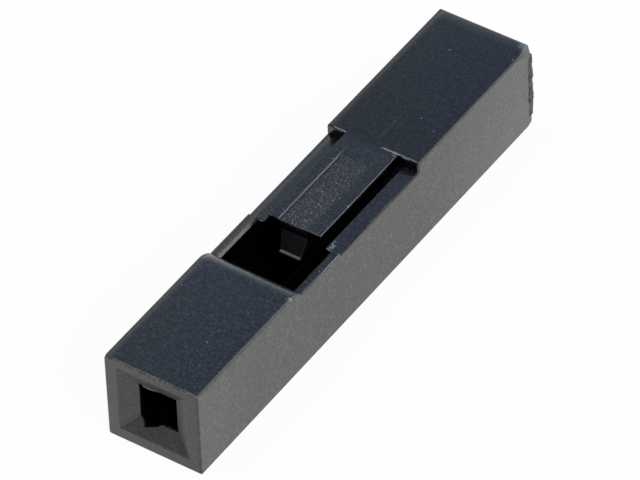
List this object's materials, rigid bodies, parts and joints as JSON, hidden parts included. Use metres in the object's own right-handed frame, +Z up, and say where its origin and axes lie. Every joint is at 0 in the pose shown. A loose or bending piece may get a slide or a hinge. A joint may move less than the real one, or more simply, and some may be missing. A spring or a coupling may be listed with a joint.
{
  "type": "crimp connector housing",
  "caption": "Square black plastic housing for one crimped wire contact, with a funnelled pin entry and a latch window with a springy tongue.",
  "frame": {"origin": "middle of the rest face, on the surface that the housing lies on", "axes": "+Y along the length from the mating face to the wire end, +Z up to the latch window, X across the width"},
  "size_m": [0.0026, 0.0138, 0.0024],
  "materials": {
    "housing_plastic": "as-moulded, fine grain, black"
  },
  "bodies": {
    "root": {"housing": "housing_plastic"}
  },
  "joints": []
}
